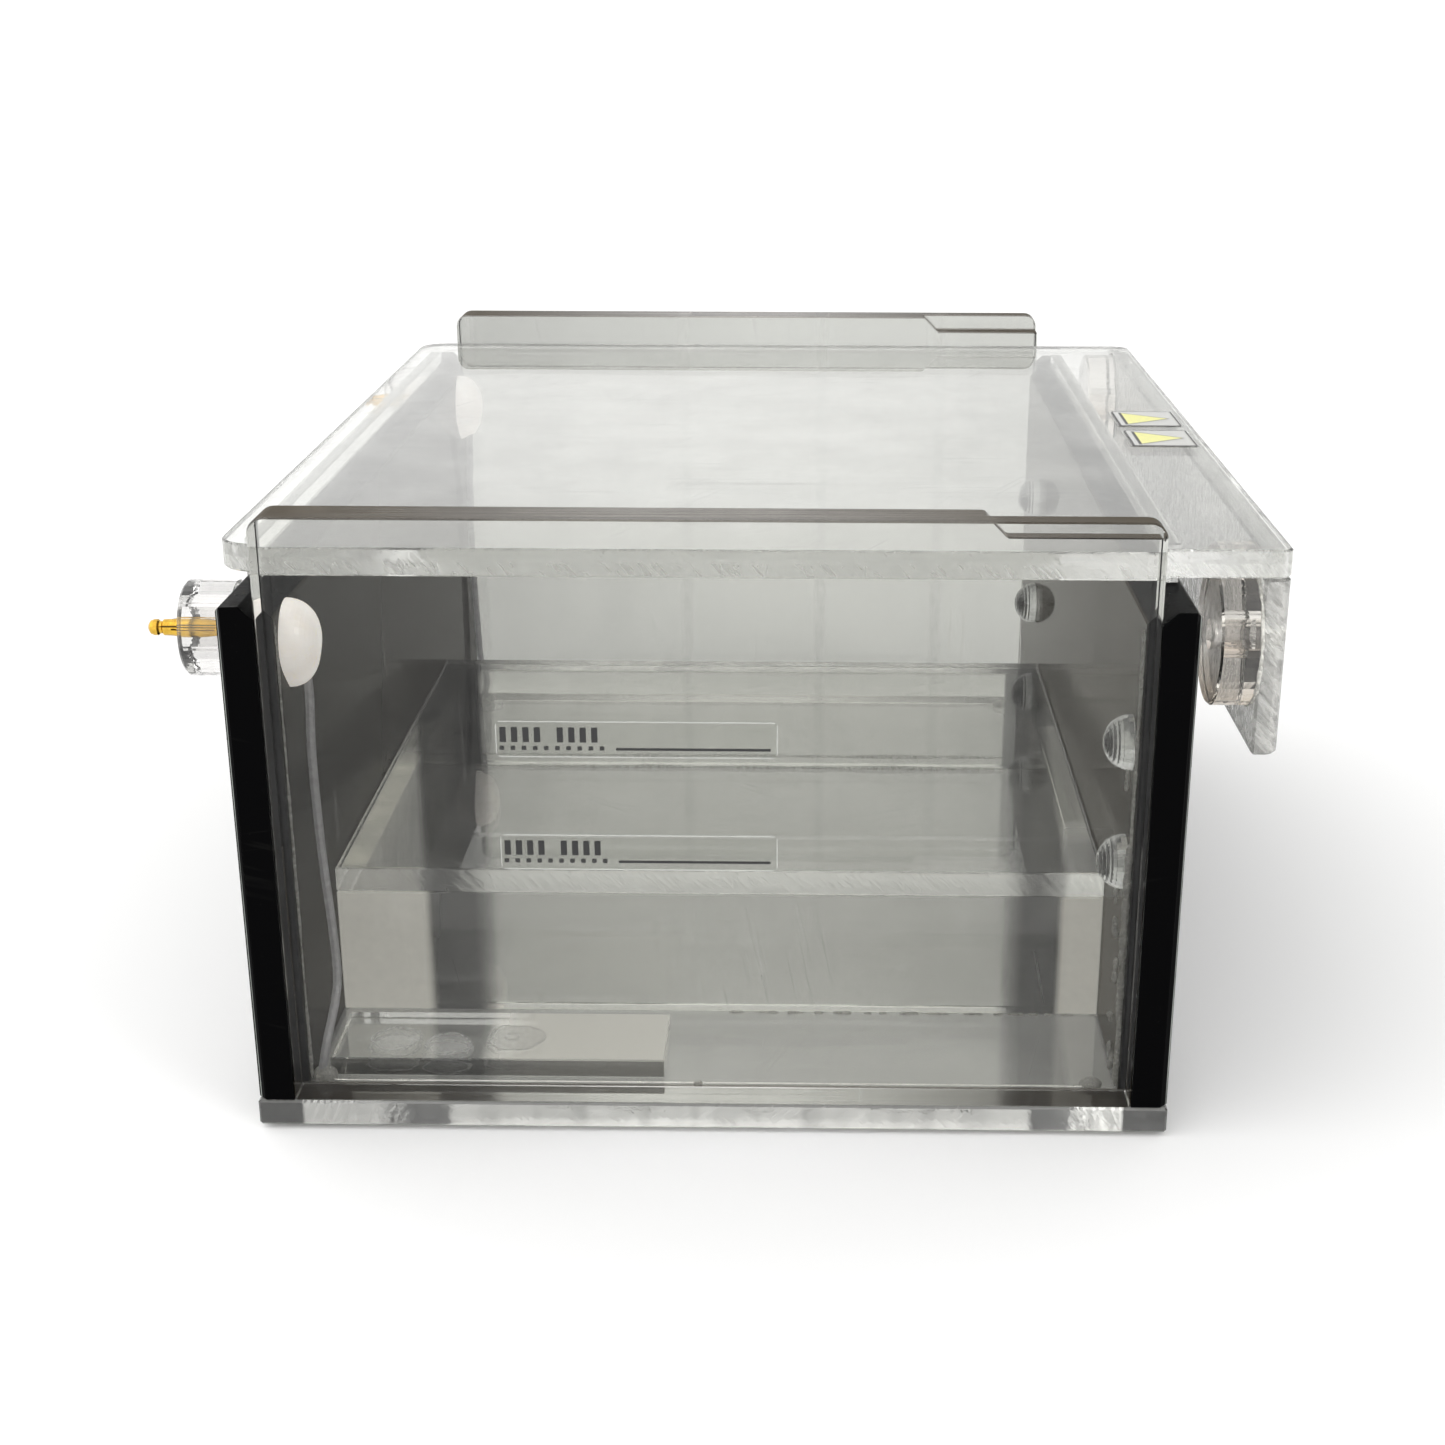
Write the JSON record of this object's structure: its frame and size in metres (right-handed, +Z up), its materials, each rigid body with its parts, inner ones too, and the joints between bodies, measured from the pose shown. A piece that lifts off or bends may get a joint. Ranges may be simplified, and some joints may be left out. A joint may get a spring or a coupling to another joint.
{
  "type": "gel electrophoresis tank",
  "caption": "Horizontal gel electrophoresis tank: clear acrylic box with black side walls, raised gel platform between two buffer chambers, plug pins on one side and a lift-off lid.",
  "frame": {"origin": "middle of the footprint, at the level the feet stand on", "axes": "+Z up, +Y along the tank from the near end (with the fill marks) to the far end, +X from the plug side to the lid's flange"},
  "size_m": [0.2406, 0.2822, 0.138],
  "materials": {
    "clear_acrylic": "clear cast acrylic sheet, solvent cemented, lightly scratched, saw-cut lid edges",
    "black_acrylic": "glossy black cast acrylic with fine scratches and a milled top edge",
    "gold_plate": "bright gold plate over brass",
    "brass": "plain turned brass",
    "tinned_copper": "dull tinned sheet",
    "platinum": "bright drawn platinum wire",
    "white_sealant": "off-white sealant, slightly glossy and smoothed by hand",
    "wire_sleeve": "clear flexible sleeving",
    "clear_bumper": "clear moulded polyurethane",
    "cement": "hardened clear cement, lumpy",
    "fill_film": "clear film with a black fill mark printed on it",
    "caution_label": "printed film, a plain yellow triangle on a clear ground"
  },
  "bodies": {
    "tank": {"base_plate": "clear_acrylic", "far_electrode_wire": "platinum", "far_end_plate": "clear_acrylic", "far_plug_nut": "brass", "far_plug_pin": "gold_plate", "far_plug_shroud": "clear_acrylic", "far_potting": "white_sealant", "far_riser": "clear_acrylic", "far_solder_tag": "tinned_copper", "far_wire_anchor_left": "cement", "far_wire_anchor_right": "cement", "far_wire_sleeve": "wire_sleeve", "fill_label_high": "fill_film", "fill_label_low": "fill_film", "floor_slab": "clear_acrylic", "foot_far_left": "clear_bumper", "foot_far_right": "clear_bumper", "foot_near_left": "clear_bumper", "foot_near_right": "clear_bumper", "gel_platform": "clear_acrylic", "left_platform_rail": "clear_acrylic", "left_side_wall": "black_acrylic", "near_electrode_wire": "platinum", "near_end_plate": "clear_acrylic", "near_plug_nut": "brass", "near_plug_pin": "gold_plate", "near_plug_shroud": "clear_acrylic", "near_potting": "white_sealant", "near_riser": "clear_acrylic", "near_solder_tag": "tinned_copper", "near_wire_anchor_left": "cement", "near_wire_anchor_right": "cement", "near_wire_sleeve": "wire_sleeve", "right_platform_rail": "clear_acrylic", "right_side_wall": "black_acrylic", "wall_bumper_far_high": "clear_bumper", "wall_bumper_far_low": "clear_bumper", "wall_bumper_near_high": "clear_bumper", "wall_bumper_near_low": "clear_bumper"},
    "lid": {"lid_boss_far": "clear_acrylic", "lid_boss_near": "clear_acrylic", "lid_flange": "clear_acrylic", "lid_label_far": "caution_label", "lid_label_near": "caution_label", "lid_plate": "clear_acrylic", "lid_runner_left": "clear_acrylic", "lid_runner_right": "clear_acrylic"}
  },
  "joints": [
    {"name": "lid_lift", "type": "slide", "parent": "tank", "child": "lid", "axis": [0, 0, 1], "range_m": [0, 0.12]}
  ]
}
